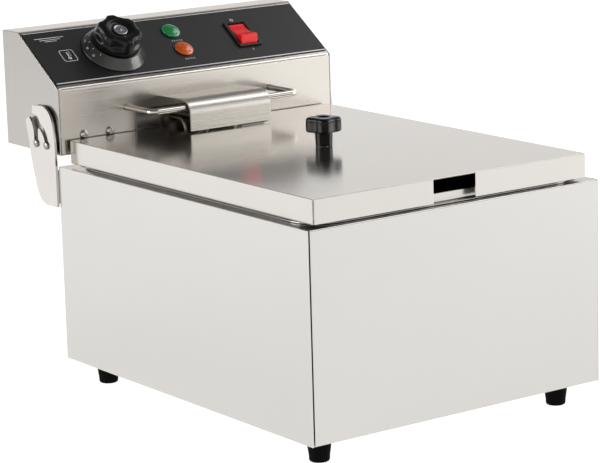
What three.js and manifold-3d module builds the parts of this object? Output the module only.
// Countertop electric deep fryer: folded steel casing with a lift-out oil tank, a control head that
// tips back on two hinge plates and carries the heating element, and a loose lid with a knob.
// Millimetres, +Z up, +X to the right, +Y to the back. The origin is the middle of the footprint on
// the table. Inside the model, y is counted from the casing's front face and z from its underside.
import * as THREE from "three";
import { mergeVertices } from "three/addons/utils/BufferGeometryUtils.js";
import Module from "manifold-3d";

const wasm = await Module();
wasm.setup();

// ---- Driving dimensions ----------------------------------------------------------------------
const sheet = 1; // folded stainless sheet
const gap = 0.3; // clearance between touching pieces
const casing = { width: 270, depth: 334.9, height: 156 };
const foot = { height: 19, topRadius: 9.3, bottomRadius: 7.7, insetX: 22.8, frontY: 23.9, rearY: 309.4 };
const tank = { halfWidth: 121, frontY: 11.4, rearY: 322, floorZ: 12, rimZ: 164, cornerRadius: 22 };
const tankFlange = { reach: 5, cornerRadius: 9 };
const lid = { halfWidth: 126.6, frontY: 3.9, rearY: 329.3, skirtZ: 158.4, topZ: 176.6, rearSkirtZ: 168.5 };
const lidNotch = { halfWidth: 19.5 };
const lidCutOut = { halfWidth: 40, frontY: 291.5 };
const lidKnob = { x: 4.5, y: 168, height: 22.6, radius: 14, cornerRadius: 5.6, waist: 11 };
const knobStem = { radius: 7, topZ: 11, boreRadius: 4.4, screwRadius: 2.5 };
const head = {
  halfWidth: 133.5,
  frontY: 332.3,
  ridgeY: 391,
  backY: 415.7,
  bottomZ: 164.6,
  bendZ: 217.6,
  topZ: 257.3,
};
const slope = Math.hypot(head.ridgeY - head.frontY, head.topZ - head.bendZ); // length of the control panel
const slopeAngle = Math.atan2(head.topZ - head.bendZ, head.ridgeY - head.frontY);
const panelMid = 36; // height up the slope of the controls' centre line
const overlay = { halfWidth: 131.6, low: 4.8, high: 67.8, thickness: 0.5 };
const dial = { x: -62.7, skirtRadius: 27, baseRadius: 20, topRadius: 18, baseZ: 9.8, topZ: 24, capRadius: 6 };
const lamp = { x: 0.5, mid: 38.4, pitch: 22.9, radius: 8, bodyRadius: 5.8, height: 4.6, depth: 14 };
const rocker = { x: 64.4, pivotZ: -3.15, radius: 13.2, halfWidth: 8, tilt: THREE.MathUtils.degToRad(18) };
const bezel = { halfWidth: 11.2, halfHeight: 15.3, thickness: 1.6, bodyHalfWidth: 9.9, bodyHalfHeight: 14.3 };
const cover = { halfWidth: 38.85, frontY: 287, topZ: 203.4, bottomZ: 178.2, bend: 12, thickness: 1.5 };
const hanger = { halfWidth: 70.3, frontY: 294.5, z: 196.3, radius: 2.5, bend: 6, rootY: 340 };
const element = { radius: 4, legX: 14, exitZ: 184, legY: 306, floorZ: 28 };
const elementLoop = { frontY: 60, outerX: 81, innerX: 27, turnY: 236 };
const plate = { outerX: 137, thickness: 2, flangeWidth: 24, flangeLowZ: 126, flangeHighZ: 153 };
const pivot = { y: 363.3, z: 171.5 }; // the hinge pins
const pin = { shaftRadius: 2.1, headRadius: 3.4, headHeight: 2, reach: 15.8 }; // reach: pivot to guide pin
const gland = { x: 92, z: 188, flangeRadius: 11, shankRadius: 8, length: 14, boreRadius: 3.6 };
const reset = { x: -60, z: 190, radius: 5, travel: 2, proud: 2.5 };

const overallDepth = head.backY + gland.length;

// ---- Shape helpers -----------------------------------------------------------------------------
// A closed geometry as a solid; a shape swept the wrong way round is turned to face out.
function solid(geometry) {
  const bare = geometry.clone();
  bare.deleteAttribute("normal");
  bare.deleteAttribute("uv");
  const merged = mergeVertices(bare, 1e-4);
  const triVerts = new Uint32Array(merged.index.array);
  const position = merged.attributes.position.array;
  if (signedVolume(position, triVerts) < 0) {
    for (let i = 0; i < triVerts.length; i += 3) {
      [triVerts[i + 1], triVerts[i + 2]] = [triVerts[i + 2], triVerts[i + 1]];
    }
  }
  return new wasm.Manifold(new wasm.Mesh({ numProp: 3, vertProperties: position, triVerts }));
}

function signedVolume(position, triVerts) {
  const corner = (i) => new THREE.Vector3().fromArray(position, 3 * triVerts[i]);
  let sum = 0;
  for (let i = 0; i < triVerts.length; i += 3) {
    sum += corner(i).dot(corner(i + 1).cross(corner(i + 2)));
  }
  return sum;
}

function geometryOf(manifold) {
  const mesh = manifold.getMesh();
  const geometry = new THREE.BufferGeometry();
  geometry.setAttribute("position", new THREE.BufferAttribute(new Float32Array(mesh.vertProperties), 3));
  geometry.setIndex(new THREE.BufferAttribute(new Uint32Array(mesh.triVerts), 1));
  const flat = geometry.toNonIndexed();
  flat.computeVertexNormals();
  return flat;
}

const join = (first, ...rest) => rest.reduce((made, next) => made.add(next), first);
const cut = (first, ...rest) => rest.reduce((made, next) => made.subtract(next), first);

function box(x0, x1, y0, y1, z0, z1) {
  const geometry = new THREE.BoxGeometry(x1 - x0, y1 - y0, z1 - z0);
  geometry.translate((x0 + x1) / 2, (y0 + y1) / 2, (z0 + z1) / 2);
  return solid(geometry);
}

// A cylinder from one height to another along "x", "y" or "z", centred on the other two coordinates.
function rod(axis, radius, from, to, a, b, sides = 20) {
  const geometry = new THREE.CylinderGeometry(radius, radius, to - from, sides);
  geometry.translate(0, (from + to) / 2, 0);
  if (axis === "x") geometry.rotateZ(-Math.PI / 2).translate(0, a, b);
  if (axis === "y") geometry.translate(a, 0, b);
  if (axis === "z") geometry.rotateX(Math.PI / 2).translate(a, b, 0);
  return solid(geometry);
}

// A profile of [radius, height] points turned round the Z axis.
function turned(profile, sides = 16) {
  const points = profile.map(([r, z]) => new THREE.Vector2(r, z));
  points.push(points[0].clone());
  return solid(new THREE.LatheGeometry(points, sides).rotateX(Math.PI / 2));
}

// An outline in the (y, z) plane given depth from x0 to x1.
function sideways(outline, x0, x1) {
  const corners = () => outline.map(([y, z]) => new THREE.Vector2(y, z));
  const shape = outline instanceof THREE.Shape ? outline : new THREE.Shape(corners());
  const settings = { depth: x1 - x0, bevelEnabled: false, curveSegments: 6 };
  const geometry = new THREE.ExtrudeGeometry(shape, settings);
  // shape x, y, depth become y, z, x
  geometry.applyMatrix4(new THREE.Matrix4().set(0, 0, 1, x0, 1, 0, 0, 0, 0, 1, 0, 0, 0, 0, 0, 1));
  return solid(geometry);
}

// A rectangle with round corners, standing from z0 to z1.
function roundedBlock(halfWidth, y0, y1, z0, z1, radius, segments = 5) {
  const shape = new THREE.Shape();
  shape.moveTo(halfWidth, y0 + radius);
  shape.absarc(halfWidth - radius, y1 - radius, radius, 0, Math.PI / 2);
  shape.absarc(radius - halfWidth, y1 - radius, radius, Math.PI / 2, Math.PI);
  shape.absarc(radius - halfWidth, y0 + radius, radius, Math.PI, 1.5 * Math.PI);
  shape.absarc(halfWidth - radius, y0 + radius, radius, 1.5 * Math.PI, 2 * Math.PI);
  const settings = { depth: z1 - z0, bevelEnabled: false, curveSegments: segments };
  return solid(new THREE.ExtrudeGeometry(shape, settings).translate(0, 0, z0));
}

// A path of straight runs with round corners through the given points.
function bentPath(points, radius) {
  const corners = points.map((p) => new THREE.Vector3(...p));
  const path = new THREE.CurvePath();
  let start = corners[0];
  for (let i = 1; i < corners.length - 1; i++) {
    const before = corners[i - 1].clone().sub(corners[i]).setLength(radius).add(corners[i]);
    const after = corners[i + 1].clone().sub(corners[i]).setLength(radius).add(corners[i]);
    path.add(new THREE.LineCurve3(start, before));
    path.add(new THREE.QuadraticBezierCurve3(before, corners[i], after));
    start = after;
  }
  path.add(new THREE.LineCurve3(start, corners.at(-1)));
  return path;
}

function wire(path, radius, steps, sides = 8) {
  const section = new THREE.Shape();
  for (let i = 0; i < sides; i++) {
    const angle = (2 * Math.PI * i) / sides;
    const point = [radius * Math.cos(angle), radius * Math.sin(angle)];
    if (i === 0) section.moveTo(...point);
    else section.lineTo(...point);
  }
  section.closePath();
  return solid(new THREE.ExtrudeGeometry(section, { steps, bevelEnabled: false, extrudePath: path }));
}

// ---- Materials ---------------------------------------------------------------------------------
const finish = (color, roughness, metalness) =>
  new THREE.MeshStandardMaterial({ color, roughness, metalness });
const steel = finish(0xd2cdc6, 0.32, 1);
const bright = finish(0xe2e0dc, 0.12, 1);
const dark = finish(0x7b756e, 0.4, 1);
const zinc = finish(0xb9b6b0, 0.4, 1);
const rubber = finish(0x151515, 0.85, 0);
const blackPlastic = finish(0x1a1a1a, 0.35, 0);
const panelFilm = finish(0x2a2b2b, 0.3, 0);
const skirtMetal = finish(0x6b6a66, 0.3, 0.9);
const green = finish(0x1f8f4d, 0.2, 0);
const orange = finish(0xc8401a, 0.2, 0);
const red = finish(0xd0161c, 0.2, 0);
const cream = finish(0xcfc7b4, 0.6, 0);

const fryer = new THREE.Group();
fryer.position.set(0, -overallDepth / 2, foot.height);

function place(name, shape, material, parent = fryer) {
  const mesh = new THREE.Mesh(geometryOf(shape), material);
  mesh.name = name;
  parent.add(mesh);
}

// ---- Casing ------------------------------------------------------------------------------------
const halfCasing = casing.width / 2;
const footX = halfCasing - foot.insetX;
const topOpening = { halfWidth: tank.halfWidth + 0.6, frontY: tank.frontY - 0.6, rearY: tank.rearY + 0.6 };
const bottomLip = 12; // inward fold round the underside

// The front panel stands between the side walls, with a fold along its top and bottom edges.
function casingFront() {
  const half = halfCasing - sheet - 0.5;
  const panel = box(-half, half, 0, sheet, 0, casing.height);
  const topFold = box(-half, half, 0, topOpening.frontY, casing.height - sheet, casing.height);
  const bottomFold = box(-half, half, 0, bottomLip, 0, sheet);
  return join(panel, topFold, bottomFold);
}

// The wrap is one sheet: left side, back and right side, folded inwards at the top and bottom.
function casingWrap() {
  const { depth, height } = casing;
  const { halfWidth, frontY, rearY } = topOpening;
  const innerHalf = halfCasing - sheet;
  const lipHalf = halfCasing - bottomLip;
  const outer = box(-halfCasing, halfCasing, 0, depth, 0, height);
  const inner = box(-innerHalf, innerHalf, -1, depth - sheet, sheet, height - sheet);
  const topHole = box(-halfWidth, halfWidth, -1, rearY, height / 2, height + 1);
  const bottomHole = box(-lipHalf, lipHalf, -1, depth - bottomLip, -1, height / 2);
  const topFrontFold = box(-innerHalf, innerHalf, -1, frontY + gap, height - 2 * sheet, height + 1);
  const bottomFrontFold = box(-innerHalf, innerHalf, -1, bottomLip + gap, -1, 2 * sheet);
  return cut(outer, inner, topHole, bottomHole, topFrontFold, bottomFrontFold);
}

function feetPlaces(use) {
  for (const [side, sign] of [["left", -1], ["right", 1]]) {
    use(`front_${side}`, sign * footX, foot.frontY);
    use(`rear_${side}`, sign * footX, foot.rearY);
  }
}

const bottomPlateZ = sheet + gap;
const footScrew = { headRadius: 4, headHeight: 2.4, radius: 2, topZ: 7, recessRadius: 4.6, recess: 8 };

function bottomPlate() {
  const half = halfCasing - sheet - 1.5;
  let made = box(-half, half, 3, casing.depth - 3, bottomPlateZ, bottomPlateZ + sheet);
  feetPlaces((name, x, y) => {
    made = cut(made, rod("z", footScrew.radius + gap, 0, 5, x, y, 12));
  });
  return made;
}

// A foot is a tapered rubber plug with a rounded tread and a recess for its screw.
function rubberFoot() {
  const { height, topRadius, bottomRadius } = foot;
  const { radius, recessRadius, recess } = footScrew;
  return turned([
    [radius + gap, sheet],
    [topRadius, sheet],
    [topRadius, -2],
    [bottomRadius + 0.4, 3 - height],
    [bottomRadius - 0.3, 1 - height],
    [bottomRadius - 1.2, -height],
    [recessRadius, -height],
    [recessRadius, recess - height],
    [radius + gap, recess - height],
  ]);
}

function footScrewShape() {
  const { headRadius, headHeight, radius, topZ, recess } = footScrew;
  const headTop = recess - foot.height - gap;
  const profile = [
    [0, headTop - headHeight],
    [headRadius, headTop - headHeight],
    [headRadius, headTop],
    [radius, headTop],
    [radius, topZ],
    [0, topZ],
  ];
  return turned(profile, 8);
}

place("casing_front", casingFront(), steel);
place("casing_wrap", casingWrap(), steel);
place("bottom_plate", bottomPlate(), zinc);
feetPlaces((name, x, y) => {
  place(`foot_${name}`, rubberFoot().translate([x, y, 0]), rubber);
  place(`foot_screw_${name}`, footScrewShape().translate([x, y, 0]), zinc);
});

// ---- Oil tank: a deep-drawn pan whose collar stands above the flange that hangs in the casing ---
function oilTank() {
  const { halfWidth, frontY, rearY, floorZ, rimZ, cornerRadius } = tank;
  // The tank's outline grown by the given amount, from one height to another.
  const grown = (by, z0, z1, radius) =>
    roundedBlock(halfWidth + by, frontY - by, rearY + by, z0, z1, radius);
  const wall = grown(0, floorZ, rimZ, cornerRadius);
  const flangeZ = casing.height + gap;
  const rim = grown(tankFlange.reach, flangeZ, flangeZ + sheet, tankFlange.cornerRadius);
  const inside = grown(-sheet, floorZ + sheet, rimZ + 1, cornerRadius - sheet);
  return cut(join(wall, rim), inside);
}

place("oil_tank", oilTank(), steel);

// ---- Hinge plates, screwed to the casing's back and slotted for the head's pins -----------------
// Outline and slots in the (y, z) plane. The guide slot is an arc about the pivot pin, and both slots
// meet under the hook, where the head lifts off through the mouth at the back.
function hingeOutline() {
  const shape = new THREE.Shape();
  shape.moveTo(casing.depth + gap, 123.2);
  shape.lineTo(350, 122.9);
  shape.quadraticCurveTo(362, 123.8, 366, 137);
  shape.lineTo(370.3, 150.4);
  shape.lineTo(373.4, 162.4);
  shape.lineTo(375.2, 173.2);
  shape.lineTo(379.1, 187.2);
  shape.quadraticCurveTo(377.5, 191, 373.4, 191.6);
  shape.quadraticCurveTo(367.6, 187, 366.6, 178);
  shape.lineTo(366.6, 171.5);
  shape.absarc(pivot.y, pivot.z, 2.8, 0, Math.PI, true);
  shape.lineTo(360.4, 183.2);
  shape.quadraticCurveTo(359.2, 184.6, 357.6, 183.2);
  shape.absarc(pivot.y, pivot.z, pin.reach - 2.7, 2.02, Math.PI, false);
  shape.absarc(pivot.y - pin.reach, pivot.z, 2.7, 0, -Math.PI, true);
  shape.absarc(pivot.y, pivot.z, pin.reach + 2.7, Math.PI, 1.95, true);
  shape.quadraticCurveTo(359, 193.6, 362.5, 194.4);
  shape.lineTo(368.4, 195.2);
  shape.lineTo(368, 200.4);
  shape.lineTo(366.5, 201.9);
  shape.lineTo(352.7, 202.7);
  shape.quadraticCurveTo(341, 201, 338, 190.2);
  shape.lineTo(335.4, 174.7);
  shape.lineTo(casing.depth + gap, 166);
  shape.closePath();
  return shape;
}

const bracketScrew = { radius: 1.8, headRadius: 3.6, headHeight: 2, lowZ: 133, highZ: 147, inset: 14 };
const bracketFrontY = casing.depth + gap;
const bracketBackY = bracketFrontY + plate.thickness;

function hingePlate() {
  const { outerX, thickness, flangeWidth, flangeLowZ, flangeHighZ } = plate;
  const inner = outerX - thickness;
  const upright = sideways(hingeOutline(), inner, outerX);
  const flangeX = inner - flangeWidth;
  const flange = box(flangeX, inner + 0.5, bracketFrontY, bracketBackY, flangeLowZ, flangeHighZ);
  const x = inner - bracketScrew.inset;
  const holes = [bracketScrew.lowZ, bracketScrew.highZ].map((z) =>
    rod("y", bracketScrew.radius + gap, casing.depth - 1, bracketBackY + 1, x, z, 12),
  );
  return cut(join(upright, flange), ...holes);
}

// A domed screw or pin head of the given radius and height, on a shaft, with its head outwards at +Z.
function domed(shaftRadius, shaftLength, headRadius, headHeight, sides = 10) {
  return turned(
    [
      [0, -shaftLength],
      [shaftRadius, -shaftLength],
      [shaftRadius, 0],
      [headRadius, 0],
      [headRadius, 0.35 * headHeight],
      [0.75 * headRadius, 0.8 * headHeight],
      [0.35 * headRadius, headHeight],
      [0, headHeight],
    ],
    sides,
  );
}

const mirrored = (shape) => shape.mirror([1, 0, 0]);
const pinStart = head.halfWidth + gap;
const pinFace = plate.outerX + 0.4;

function hingePin(y, z) {
  const upright = domed(pin.shaftRadius, pinFace - pinStart, pin.headRadius, pin.headHeight, 14);
  return upright.rotate([0, 90, 0]).translate([pinFace, y, z]);
}

for (const [side, onSide] of [["left", mirrored], ["right", (shape) => shape]]) {
  place(`hinge_plate_${side}`, onSide(hingePlate()), steel);
  for (const [level, z] of [["lower", bracketScrew.lowZ], ["upper", bracketScrew.highZ]]) {
    const x = plate.outerX - plate.thickness - bracketScrew.inset;
    const { radius, headRadius, headHeight } = bracketScrew;
    const screw = domed(radius, plate.thickness, headRadius, headHeight);
    const placed = screw.rotate([-90, 0, 0]).translate([x, bracketBackY + gap, z]);
    place(`hinge_screw_${level}_${side}`, onSide(placed), zinc);
  }
  place(`pivot_pin_${side}`, onSide(hingePin(pivot.y, pivot.z)), bright);
  place(`guide_pin_${side}`, onSide(hingePin(pivot.y - pin.reach, pivot.z)), bright);
}

// ---- Control head --------------------------------------------------------------------------------
// Group whose x runs along the panel, y up its slope and z out of it.
const panel = new THREE.Group();
panel.position.set(0, head.frontY, head.bendZ);
panel.rotation.x = slopeAngle;
fryer.add(panel);

// A solid in the panel's own axes, moved to where the panel is.
const slopeDegrees = THREE.MathUtils.radToDeg(slopeAngle);
const onPanel = (shape) => shape.rotate([slopeDegrees, 0, 0]).translate([0, head.frontY, head.bendZ]);

const headInner = head.halfWidth - sheet; // inner face of the end plates
const shellHalf = headInner - gap;
const headOutline = [
  [head.frontY, head.bottomZ],
  [head.backY, head.bottomZ],
  [head.backY, head.topZ],
  [head.ridgeY, head.topZ],
  [head.frontY, head.bendZ],
];
const lampHeights = { green: lamp.mid + lamp.pitch / 2, orange: lamp.mid - lamp.pitch / 2 };
const domeScrews = { inner: -87, outer: -111.2, z: 179.4, radius: 1.8, headRadius: 3.5, headHeight: 2.4 };
const domeHole = domeScrews.radius + gap;
const probe = { x: 28, tubeRadius: 1.3, bulbRadius: 3, holeRadius: 2 };
const dialHole = 5;
const lampHole = lamp.bodyRadius + gap;
const blade = { x: -99, halfWidth: 2.2, frontY: 333.6, thickness: 1.2, topZ: 168.2 };

// The shell is one sheet: front, sloping panel and top, pierced for everything fixed to it.
function headShell() {
  const lean = sheet * Math.tan(slopeAngle / 2);
  const steep = sheet * Math.tan((Math.PI / 2 - slopeAngle) / 2);
  const profile = [
    [head.frontY, head.bottomZ + sheet + gap],
    [head.frontY + sheet, head.bottomZ + sheet + gap],
    [head.frontY + sheet, head.bendZ - steep],
    [head.ridgeY + lean, head.topZ - sheet],
    [head.backY, head.topZ - sheet],
    [head.backY, head.topZ],
    [head.ridgeY, head.topZ],
    [head.frontY, head.bendZ],
  ];
  const front = [head.frontY - 2, head.frontY + 3];
  const holes = [
    onPanel(rod("z", dialHole, -3, 3, dial.x, panelMid, 16)),
    onPanel(rod("z", lampHole, -3, 3, lamp.x, lampHeights.green, 16)),
    onPanel(rod("z", lampHole, -3, 3, lamp.x, lampHeights.orange, 16)),
    onPanel(switchHole()),
    rod("y", hanger.radius + gap, ...front, -hanger.halfWidth, hanger.z, 12),
    rod("y", hanger.radius + gap, ...front, hanger.halfWidth, hanger.z, 12),
    rod("y", element.radius + gap, ...front, -element.legX, element.exitZ, 12),
    rod("y", element.radius + gap, ...front, element.legX, element.exitZ, 12),
    rod("y", probe.holeRadius, ...front, -probe.x, element.exitZ, 10),
    rod("y", probe.holeRadius, ...front, probe.x, element.exitZ, 10),
    rod("y", domeHole, ...front, domeScrews.inner, domeScrews.z, 10),
    rod("y", domeHole, ...front, domeScrews.outer, domeScrews.z, 10),
  ];
  return cut(sideways(profile, -shellHalf, shellHalf), ...holes);
}

function switchHole() {
  const x = bezel.bodyHalfWidth + gap;
  const y = bezel.bodyHalfHeight + gap;
  return box(rocker.x - x, rocker.x + x, panelMid - y, panelMid + y, -3, 3);
}

// The rear cover is one sheet folded into the underside and the back.
const coverScrew = { radius: 1.8, headRadius: 3.4, headHeight: 2, x: 126, y: 400, z: 246 };

function headRearCover() {
  const { frontY, backY, bottomZ, topZ } = head;
  const bottom = box(-shellHalf, shellHalf, frontY, backY, bottomZ, bottomZ + sheet);
  const back = box(-shellHalf, shellHalf, backY - sheet, backY, bottomZ, topZ - sheet - gap);
  const { x, y, z, radius } = coverScrew;
  const below = [bottomZ - 1, bottomZ + 2];
  const behind = [backY - 2, backY + 1];
  const bladeHalf = blade.halfWidth + gap;
  const bladeFront = blade.frontY - gap;
  const bladeBack = blade.frontY + blade.thickness + gap;
  const holes = [
    rod("z", radius + gap, ...below, -x, y, 10),
    rod("z", radius + gap, ...below, x, y, 10),
    rod("y", radius + gap, ...behind, -x, z, 10),
    rod("y", radius + gap, ...behind, x, z, 10),
    rod("y", gland.shankRadius + gap, ...behind, gland.x, gland.z, 20),
    rod("y", reset.radius + 0.5, ...behind, reset.x, reset.z, 16),
    box(blade.x - bladeHalf, blade.x + bladeHalf, bladeFront, bladeBack, ...below),
  ];
  return cut(join(bottom, back), ...holes);
}

place("head_shell", headShell(), steel);
place("head_rear_cover", headRearCover(), steel);
place("head_end_left", sideways(headOutline, -head.halfWidth, -headInner), steel);
place("head_end_right", sideways(headOutline, headInner, head.halfWidth), steel);

for (const [side, sign] of [["left", -1], ["right", 1]]) {
  const { x, y, z, radius, headRadius, headHeight } = coverScrew;
  const screw = () => domed(radius, 5, headRadius, headHeight);
  const below = screw().rotate([180, 0, 0]).translate([sign * x, y, head.bottomZ - gap]);
  const behind = screw().rotate([-90, 0, 0]).translate([sign * x, head.backY + gap, z]);
  place(`underside_screw_${side}`, below, zinc);
  place(`back_screw_${side}`, behind, zinc);
}

// ---- Control panel: film, dial, lamps and rocker switch ------------------------------------------
function controlFilm() {
  const { halfWidth, low, high, thickness } = overlay;
  const film = box(-halfWidth, halfWidth, low, high, gap, gap + thickness);
  return cut(
    film,
    rod("z", dialHole, -1, 3, dial.x, panelMid, 16),
    rod("z", lampHole, -1, 3, lamp.x, lampHeights.green, 16),
    rod("z", lampHole, -1, 3, lamp.x, lampHeights.orange, 16),
    switchHole(),
  );
}

// The grip has six finger hollows down its side and a dished top with a small cap in it.
const fingerHollow = { radius: 7.2, depth: 2.2, floorZ: 15.8 };

function dialGrip() {
  const { baseRadius, topRadius, baseZ, topZ } = dial;
  const bore = 3.4;
  let grip = turned(
    [
      [bore, 1.6],
      [11.4, 1.6],
      [11.4, baseZ],
      [baseRadius, baseZ],
      [baseRadius - 0.6, topZ - 5],
      [topRadius, topZ - 1.2],
      [topRadius - 1.2, topZ],
      [10.8, topZ],
      [8, topZ - 2],
      [0, topZ - 2],
      [0, 15.4],
      [bore, 15.4],
    ],
    24,
  );
  const { radius, depth, floorZ } = fingerHollow;
  const reach = topRadius + radius - depth;
  for (let i = 0; i < 6; i++) {
    const angle = ((i + 0.5) * Math.PI) / 3;
    const x = reach * Math.cos(angle);
    const y = reach * Math.sin(angle);
    grip = cut(grip, rod("z", radius, floorZ, topZ + 2, x, y, 14));
  }
  return grip;
}

function dialSkirt() {
  const { skirtRadius, baseRadius, baseZ } = dial;
  const top = baseZ - gap;
  return turned(
    [
      [11.8, top - 1],
      [baseRadius - 0.2, top - 1],
      [skirtRadius - 1.2, 1.2],
      [skirtRadius, 1.2],
      [skirtRadius, 2],
      [baseRadius + 0.3, top],
      [11.8, top],
    ],
    24,
  );
}

function dialCap() {
  const { capRadius, topZ } = dial;
  const low = topZ - 1.7;
  return turned([[0, low], [capRadius, low], [capRadius, low + 0.8], [0, low + 1]], 20);
}

const shaftTop = 15;
const thermostat = { halfWidth: 22, halfHeight: 20, depth: 32, top: -1.4 };

function thermostatBody() {
  const { halfWidth, halfHeight, depth, top } = thermostat;
  return box(-halfWidth, halfWidth, -halfHeight, halfHeight, -depth, top);
}

place("control_film", controlFilm(), panelFilm, panel);
place("dial_grip", dialGrip().translate([dial.x, panelMid, 0]), blackPlastic, panel);
place("dial_skirt", dialSkirt().translate([dial.x, panelMid, 0]), skirtMetal, panel);
place("dial_cap", dialCap().translate([dial.x, panelMid, 0]), bright, panel);
place("dial_shaft", rod("z", 3, -1.1, shaftTop, dial.x, panelMid, 12), zinc, panel);
place("thermostat", thermostatBody().translate([dial.x, panelMid, 0]), cream, panel);

function signalLamp() {
  const { radius, bodyRadius, height, depth } = lamp;
  const seat = gap + overlay.thickness + gap;
  return turned([
    [0, -depth],
    [bodyRadius, -depth],
    [bodyRadius, seat],
    [radius, seat],
    [radius, seat + 1],
    [0.86 * radius, seat + 2.4],
    [0.5 * radius, height - 0.4],
    [0, height],
  ]);
}

place("lamp_green", signalLamp().translate([lamp.x, lampHeights.green, 0]), green, panel);
place("lamp_orange", signalLamp().translate([lamp.x, lampHeights.orange, 0]), orange, panel);

// The switch body is an open cup with a thin frame round its mouth.
const switchDepth = 19;

function switchBody() {
  const seat = gap + overlay.thickness + gap;
  const { halfWidth, halfHeight, thickness, bodyHalfWidth, bodyHalfHeight } = bezel;
  const frame = box(-halfWidth, halfWidth, -halfHeight, halfHeight, seat, seat + thickness);
  const body = box(
    -bodyHalfWidth, bodyHalfWidth, -bodyHalfHeight, bodyHalfHeight, -switchDepth, seat + 0.5,
  );
  const mouthX = rocker.halfWidth + 0.4;
  const mouthY = rocker.radius + 0.4;
  const mouth = box(-mouthX, mouthX, -mouthY, mouthY, 1.5 - switchDepth, seat + 3);
  return cut(join(frame, body), mouth);
}

// The rocker's ends are arcs about its pivot; its face is dished. At rest its lower end stands out.
function rockerShape() {
  const { radius, halfWidth, pivotZ, tilt } = rocker;
  const shape = new THREE.Shape();
  const faceAngle = 0.68;
  const lowAngle = -0.18;
  const dish = 4.5;
  const faceY = radius * Math.cos(faceAngle);
  const faceZ = radius * Math.sin(faceAngle);
  shape.absarc(0, 0, radius, lowAngle, faceAngle, false);
  shape.quadraticCurveTo(0, faceZ - dish, -faceY, faceZ);
  shape.absarc(0, 0, radius, Math.PI - faceAngle, Math.PI - lowAngle, false);
  shape.lineTo(-4, -7);
  shape.lineTo(4, -7);
  shape.closePath();
  const level = sideways(shape, -halfWidth, halfWidth);
  return level.rotate([THREE.MathUtils.radToDeg(-tilt), 0, 0]).translate([0, 0, pivotZ]);
}

place("switch_body", switchBody().translate([rocker.x, panelMid, 0]), blackPlastic, panel);
place("switch_rocker", rockerShape().translate([rocker.x, panelMid, 0]), red, panel);

// ---- Basket hanger, element cover and the plate behind it -----------------------------------------
function basketHanger() {
  const { halfWidth, frontY, z, radius, bend, rootY } = hanger;
  const plan = [[-halfWidth, rootY], [-halfWidth, frontY], [halfWidth, frontY], [halfWidth, rootY]];
  const points = plan.map(([x, y]) => [x, y, z]);
  return wire(bentPath(points, bend), radius, 54, 8);
}

function elementCover() {
  const { halfWidth, frontY, topZ, bottomZ, bend, thickness } = cover;
  const backY = head.frontY - gap;
  const shape = new THREE.Shape();
  shape.moveTo(backY, topZ);
  shape.absarc(frontY + bend, topZ - bend, bend, Math.PI / 2, Math.PI, false);
  shape.lineTo(frontY, bottomZ);
  shape.lineTo(frontY + thickness, bottomZ);
  shape.absarc(frontY + bend, topZ - bend, bend - thickness, Math.PI, Math.PI / 2, true);
  shape.lineTo(backY, topZ - thickness);
  shape.closePath();
  return sideways(shape, -halfWidth, halfWidth);
}

const mountPlate = { halfWidth: 63, lowZ: 168, highZ: 193.3, thickness: 1 };

function elementPlate() {
  const y1 = head.frontY - gap;
  const y0 = y1 - mountPlate.thickness;
  const bar = box(-mountPlate.halfWidth, mountPlate.halfWidth, y0, y1, mountPlate.lowZ, mountPlate.highZ);
  const holes = [-1, 1].flatMap((sign) => [
    rod("y", element.radius + gap, y0 - 1, y1 + 1, sign * element.legX, element.exitZ, 12),
    rod("y", probe.holeRadius, y0 - 1, y1 + 1, sign * probe.x, element.exitZ, 10),
  ]);
  return cut(bar, ...holes);
}

place("basket_hanger", basketHanger(), bright);
place("element_cover", elementCover(), steel);
place("element_plate", elementPlate(), dark);
for (const side of ["inner", "outer"]) {
  const { radius, headRadius, headHeight, z } = domeScrews;
  const screw = domed(radius, 4, headRadius, headHeight, 12).rotate([90, 0, 0]);
  place(`dome_screw_${side}`, screw.translate([domeScrews[side], head.frontY - gap, z]), bright);
}

// ---- Heating element and the two sensor bulbs, which hang from the head into the tank -------------
function heatingElement() {
  const { legX, exitZ, legY, floorZ, radius } = element;
  const { frontY, outerX, innerX, turnY } = elementLoop;
  const half = (sign) => [
    [sign * legX, head.frontY + 12, exitZ],
    [sign * legX, legY, exitZ],
    [sign * legX, legY, floorZ],
    [sign * legX, legY - 26, floorZ],
    [sign * outerX, legY - 52, floorZ],
    [sign * outerX, frontY, floorZ],
    [sign * innerX, frontY, floorZ],
    [sign * innerX, turnY, floorZ],
  ];
  return wire(bentPath([...half(-1), ...half(1).reverse()], 12), radius, 165, 6);
}

// A thin capillary tube that ends in a thicker bulb lying above the element.
function sensor(x) {
  const { exitZ, legY, floorZ } = element;
  const low = floorZ + 13;
  const bulb = { frontY: 196, rearY: 288 };
  const side = [[head.frontY + 8, exitZ], [legY + 6, exitZ], [legY + 6, low], [bulb.rearY - 2, low]];
  const tube = bentPath(side.map(([y, z]) => [x, y, z]), 9);
  return join(
    wire(tube, probe.tubeRadius, 32, 5),
    rod("y", probe.bulbRadius, bulb.frontY, bulb.rearY, x, low, 8),
  );
}

function elementNut(x) {
  const y0 = head.frontY + sheet + gap;
  const hexagon = rod("y", 8, y0, y0 + 5, x, element.exitZ, 6);
  return cut(hexagon, rod("y", element.radius + gap, y0 - 1, y0 + 6, x, element.exitZ, 12));
}

place("heating_element", heatingElement(), dark);
place("thermostat_bulb", sensor(-probe.x), bright);
place("cut_out_bulb", sensor(probe.x), bright);
place("element_nut_left", elementNut(-element.legX), cream);
place("element_nut_right", elementNut(element.legX), cream);

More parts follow.
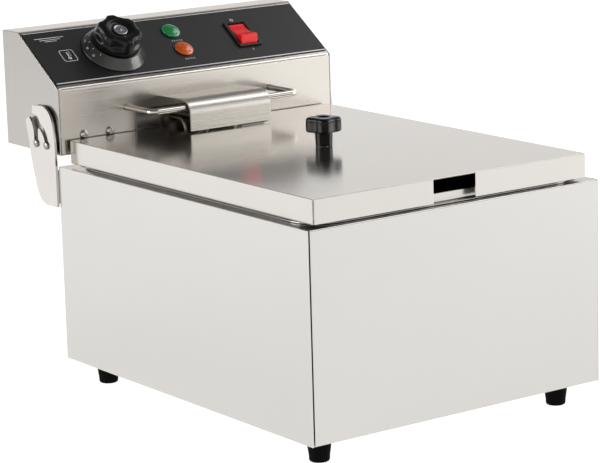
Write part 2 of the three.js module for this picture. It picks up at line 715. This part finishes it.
// ---- Inside and on the back of the head ------------------------------------------------------------
// The micro switch sits behind the two dome screws; its blade reaches down to the casing's edge.
function microSwitch() {
  const y0 = head.frontY + sheet + gap;
  const body = box(-113, -85, y0, y0 + 10.3, 171, 187);
  const reach = y0 + 4.5;
  return cut(
    body,
    rod("y", domeHole, y0 - 1, reach, domeScrews.inner, domeScrews.z, 10),
    rod("y", domeHole, y0 - 1, reach, domeScrews.outer, domeScrews.z, 10),
  );
}

function switchBlade() {
  const { x, halfWidth, frontY, thickness, topZ } = blade;
  return box(x - halfWidth, x + halfWidth, frontY, frontY + thickness, casing.height + gap, topZ);
}

place("micro_switch", microSwitch(), blackPlastic);
place("micro_switch_blade", switchBlade(), cream);

// The cut-out's body has a bore behind the back panel's hole, where its reset button slides.
const cutOut = { radius: 15, depth: 22, backY: head.backY - sheet - gap, bore: 6 };

function cutOutBody() {
  const { radius, depth, backY, bore } = cutOut;
  const body = rod("y", radius, backY - depth, backY, reset.x, reset.z, 20);
  return cut(body, rod("y", reset.radius + gap, backY - bore, backY + 1, reset.x, reset.z, 16));
}

function resetButton() {
  const { x, z, radius, travel, proud } = reset;
  const inner = cutOut.backY - cutOut.bore + travel + gap;
  return rod("y", radius, inner, head.backY + proud, x, z, 16);
}

place("cut_out", cutOutBody(), cream);
place("reset_button", resetButton(), red);
place("terminal_block", box(60, 104, 372, 390, head.bottomZ + sheet + gap, head.bottomZ + 20), cream);

// The cord gland: a collar outside, a tapered nose and a shank through the back, bored for the cord.
function cordGland() {
  const { flangeRadius, shankRadius, length, boreRadius } = gland;
  return turned([
    [boreRadius, -9],
    [shankRadius, -9],
    [shankRadius, gap],
    [flangeRadius, gap],
    [flangeRadius, 5],
    [flangeRadius - 2.5, 6],
    [boreRadius + 1.6, length],
    [boreRadius, length],
  ]);
}

const placedGland = cordGland().rotate([-90, 0, 0]).translate([gland.x, head.backY, gland.z]);
place("cord_gland", placedGland, blackPlastic);

// ---- Lid --------------------------------------------------------------------------------------------
// A folded tray turned over, notched at the front for the basket's handle and cut away at the back
// round the heating element. Its rear fold is short, so that it passes over the tank's collar.
function lidTray() {
  const { halfWidth, frontY, rearY, skirtZ, topZ, rearSkirtZ } = lid;
  const innerHalf = halfWidth - sheet;
  const below = skirtZ - 1;
  const outer = box(-halfWidth, halfWidth, frontY, rearY, skirtZ, topZ);
  const inner = box(-innerHalf, innerHalf, frontY + sheet, rearY - sheet, below, topZ - sheet);
  const rearRoom = box(-innerHalf, innerHalf, rearY - 2 * sheet, rearY + 1, below, rearSkirtZ);
  const notchHalf = lidNotch.halfWidth;
  const notch = box(-notchHalf, notchHalf, frontY - 1, frontY + 2 * sheet, below, topZ - sheet);
  const backHalf = lidCutOut.halfWidth;
  const back = box(-backHalf, backHalf, lidCutOut.frontY, rearY + 1, below, topZ + 1);
  const holeRadius = knobStem.screwRadius + gap;
  const screwHole = rod("z", holeRadius, topZ - 3, topZ + 1, lidKnob.x, lidKnob.y, 12);
  return cut(outer, inner, rearRoom, notch, back, screwHole);
}

// A square block with round corners and slightly hollow sides on a stem, with a hole down the middle.
function lidKnobShape() {
  const { height, radius, cornerRadius, waist } = lidKnob;
  const { topZ, boreRadius, screwRadius } = knobStem;
  const stem = turned([[2, gap], [knobStem.radius - 0.4, gap], [knobStem.radius, topZ + 1], [2, topZ + 1]]);
  const reach = (radius - cornerRadius) * Math.SQRT1_2;
  const corners = [[1, 1], [-1, 1], [-1, -1], [1, -1]].map(([a, b]) =>
    rod("z", cornerRadius, topZ, height, a * reach, b * reach, 12),
  );
  const across = box(-waist, waist, -reach, reach, topZ, height);
  const along = box(-reach, reach, -waist, waist, topZ, height);
  const bore = rod("z", boreRadius, topZ + 5, height + 1, 0, 0, 12);
  const screwBore = rod("z", screwRadius + gap, -1, topZ + 6, 0, 0, 12);
  return cut(join(stem, across, along, ...corners), bore, screwBore);
}

function lidKnobScrew() {
  const under = lid.topZ - sheet - gap;
  const top = lid.topZ + 14;
  const { screwRadius } = knobStem;
  const screwHead = { radius: 4.5, height: 3 };
  const profile = [
    [0, under - screwHead.height],
    [screwHead.radius, under - screwHead.height],
    [screwHead.radius, under],
    [screwRadius, under],
    [screwRadius, top],
    [0, top],
  ];
  return turned(profile, 12).translate([lidKnob.x, lidKnob.y, 0]);
}

place("lid_tray", lidTray(), steel);
place("lid_knob", lidKnobShape().translate([lidKnob.x, lidKnob.y, lid.topZ]), blackPlastic);
place("lid_knob_screw", lidKnobScrew(), zinc);

export default fryer;
